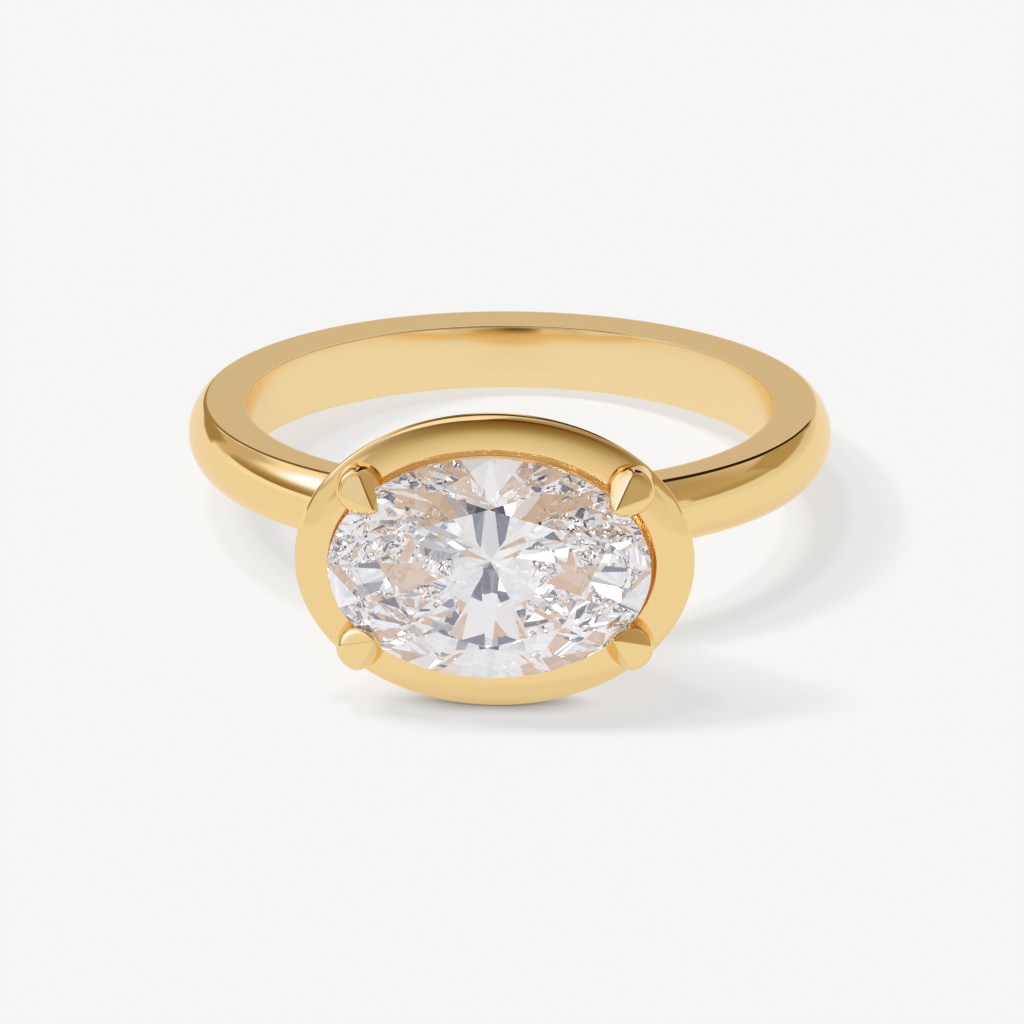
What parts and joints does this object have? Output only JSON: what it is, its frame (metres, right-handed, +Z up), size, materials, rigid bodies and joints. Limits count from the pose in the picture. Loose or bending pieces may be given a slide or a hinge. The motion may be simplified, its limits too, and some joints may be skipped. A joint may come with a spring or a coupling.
{
  "type": "oval engagement ring",
  "caption": "Yellow gold ring with an oval brilliant set across the finger in a raised bezel frame with pointed claws.",
  "frame": {"origin": "on the floor under the middle of the ring's bounding box, with the ring lying on its side as it rests by itself", "axes": "+Y from the stone towards the back of the band, +X to the right seen from the stone, +Z up from the floor"},
  "size_m": [0.0202, 0.0252, 0.0091],
  "materials": {
    "gold": "polished yellow gold",
    "diamond": "clear, polished facets"
  },
  "bodies": {
    "root": {"ring_mount": "gold", "stone": "diamond"}
  },
  "joints": []
}
